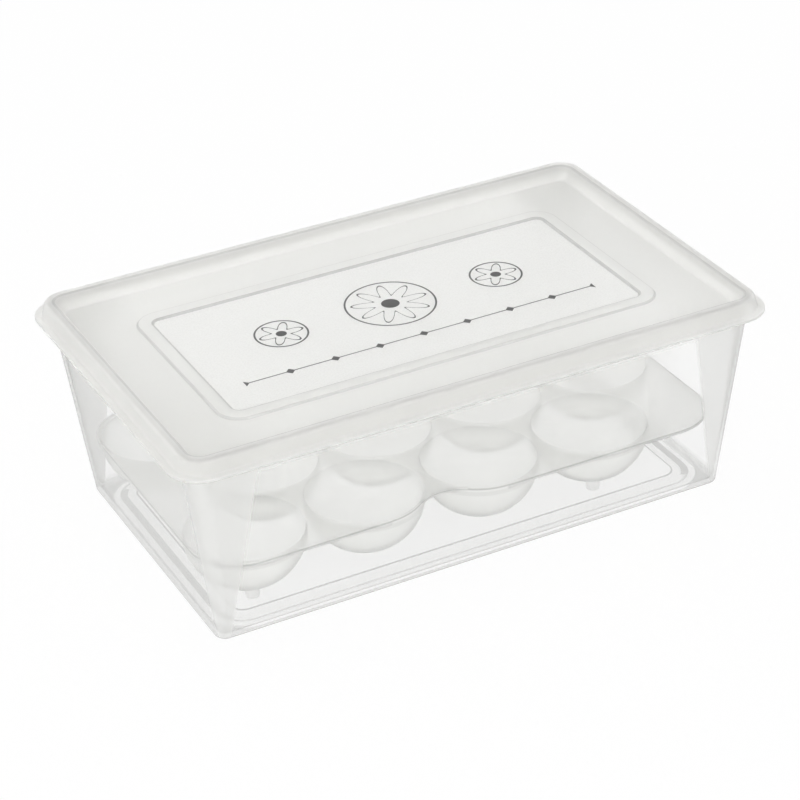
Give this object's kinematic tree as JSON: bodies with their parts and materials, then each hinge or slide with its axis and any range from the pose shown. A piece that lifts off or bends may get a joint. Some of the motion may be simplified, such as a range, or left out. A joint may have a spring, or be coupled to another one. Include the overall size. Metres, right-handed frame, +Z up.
{
  "type": "egg box",
  "caption": "Clear rectangular egg keeper: leaning tub, lift-out tray of round cups in staggered rows and a frosted press-on lid with a raised label band.",
  "frame": {"origin": "middle of the tub's foot ring, on the surface that the box stands on", "axes": "+Z up, +X along the length towards the side that the middle row of cups is shifted to, +Y towards the back"},
  "size_m": [0.265, 0.1658, 0.091],
  "materials": {
    "clear_plastic": "clear, slightly milky polypropylene, smooth",
    "tray_plastic": "translucent milky white polypropylene, satin",
    "frosted_plastic": "frosted, finely textured milky polypropylene"
  },
  "bodies": {
    "tub": {"tub": "clear_plastic"},
    "tray": {"egg_tray": "tray_plastic"},
    "lid": {"lid": "frosted_plastic"}
  },
  "joints": [
    {"name": "tray_lift", "type": "slide", "parent": "tub", "child": "tray", "axis": [0, 0, 1], "range_m": [0, 0.1]},
    {"name": "lid_lift", "type": "slide", "parent": "tray", "child": "lid", "axis": [0, 0, 1], "range_m": [0, 0.08]}
  ]
}
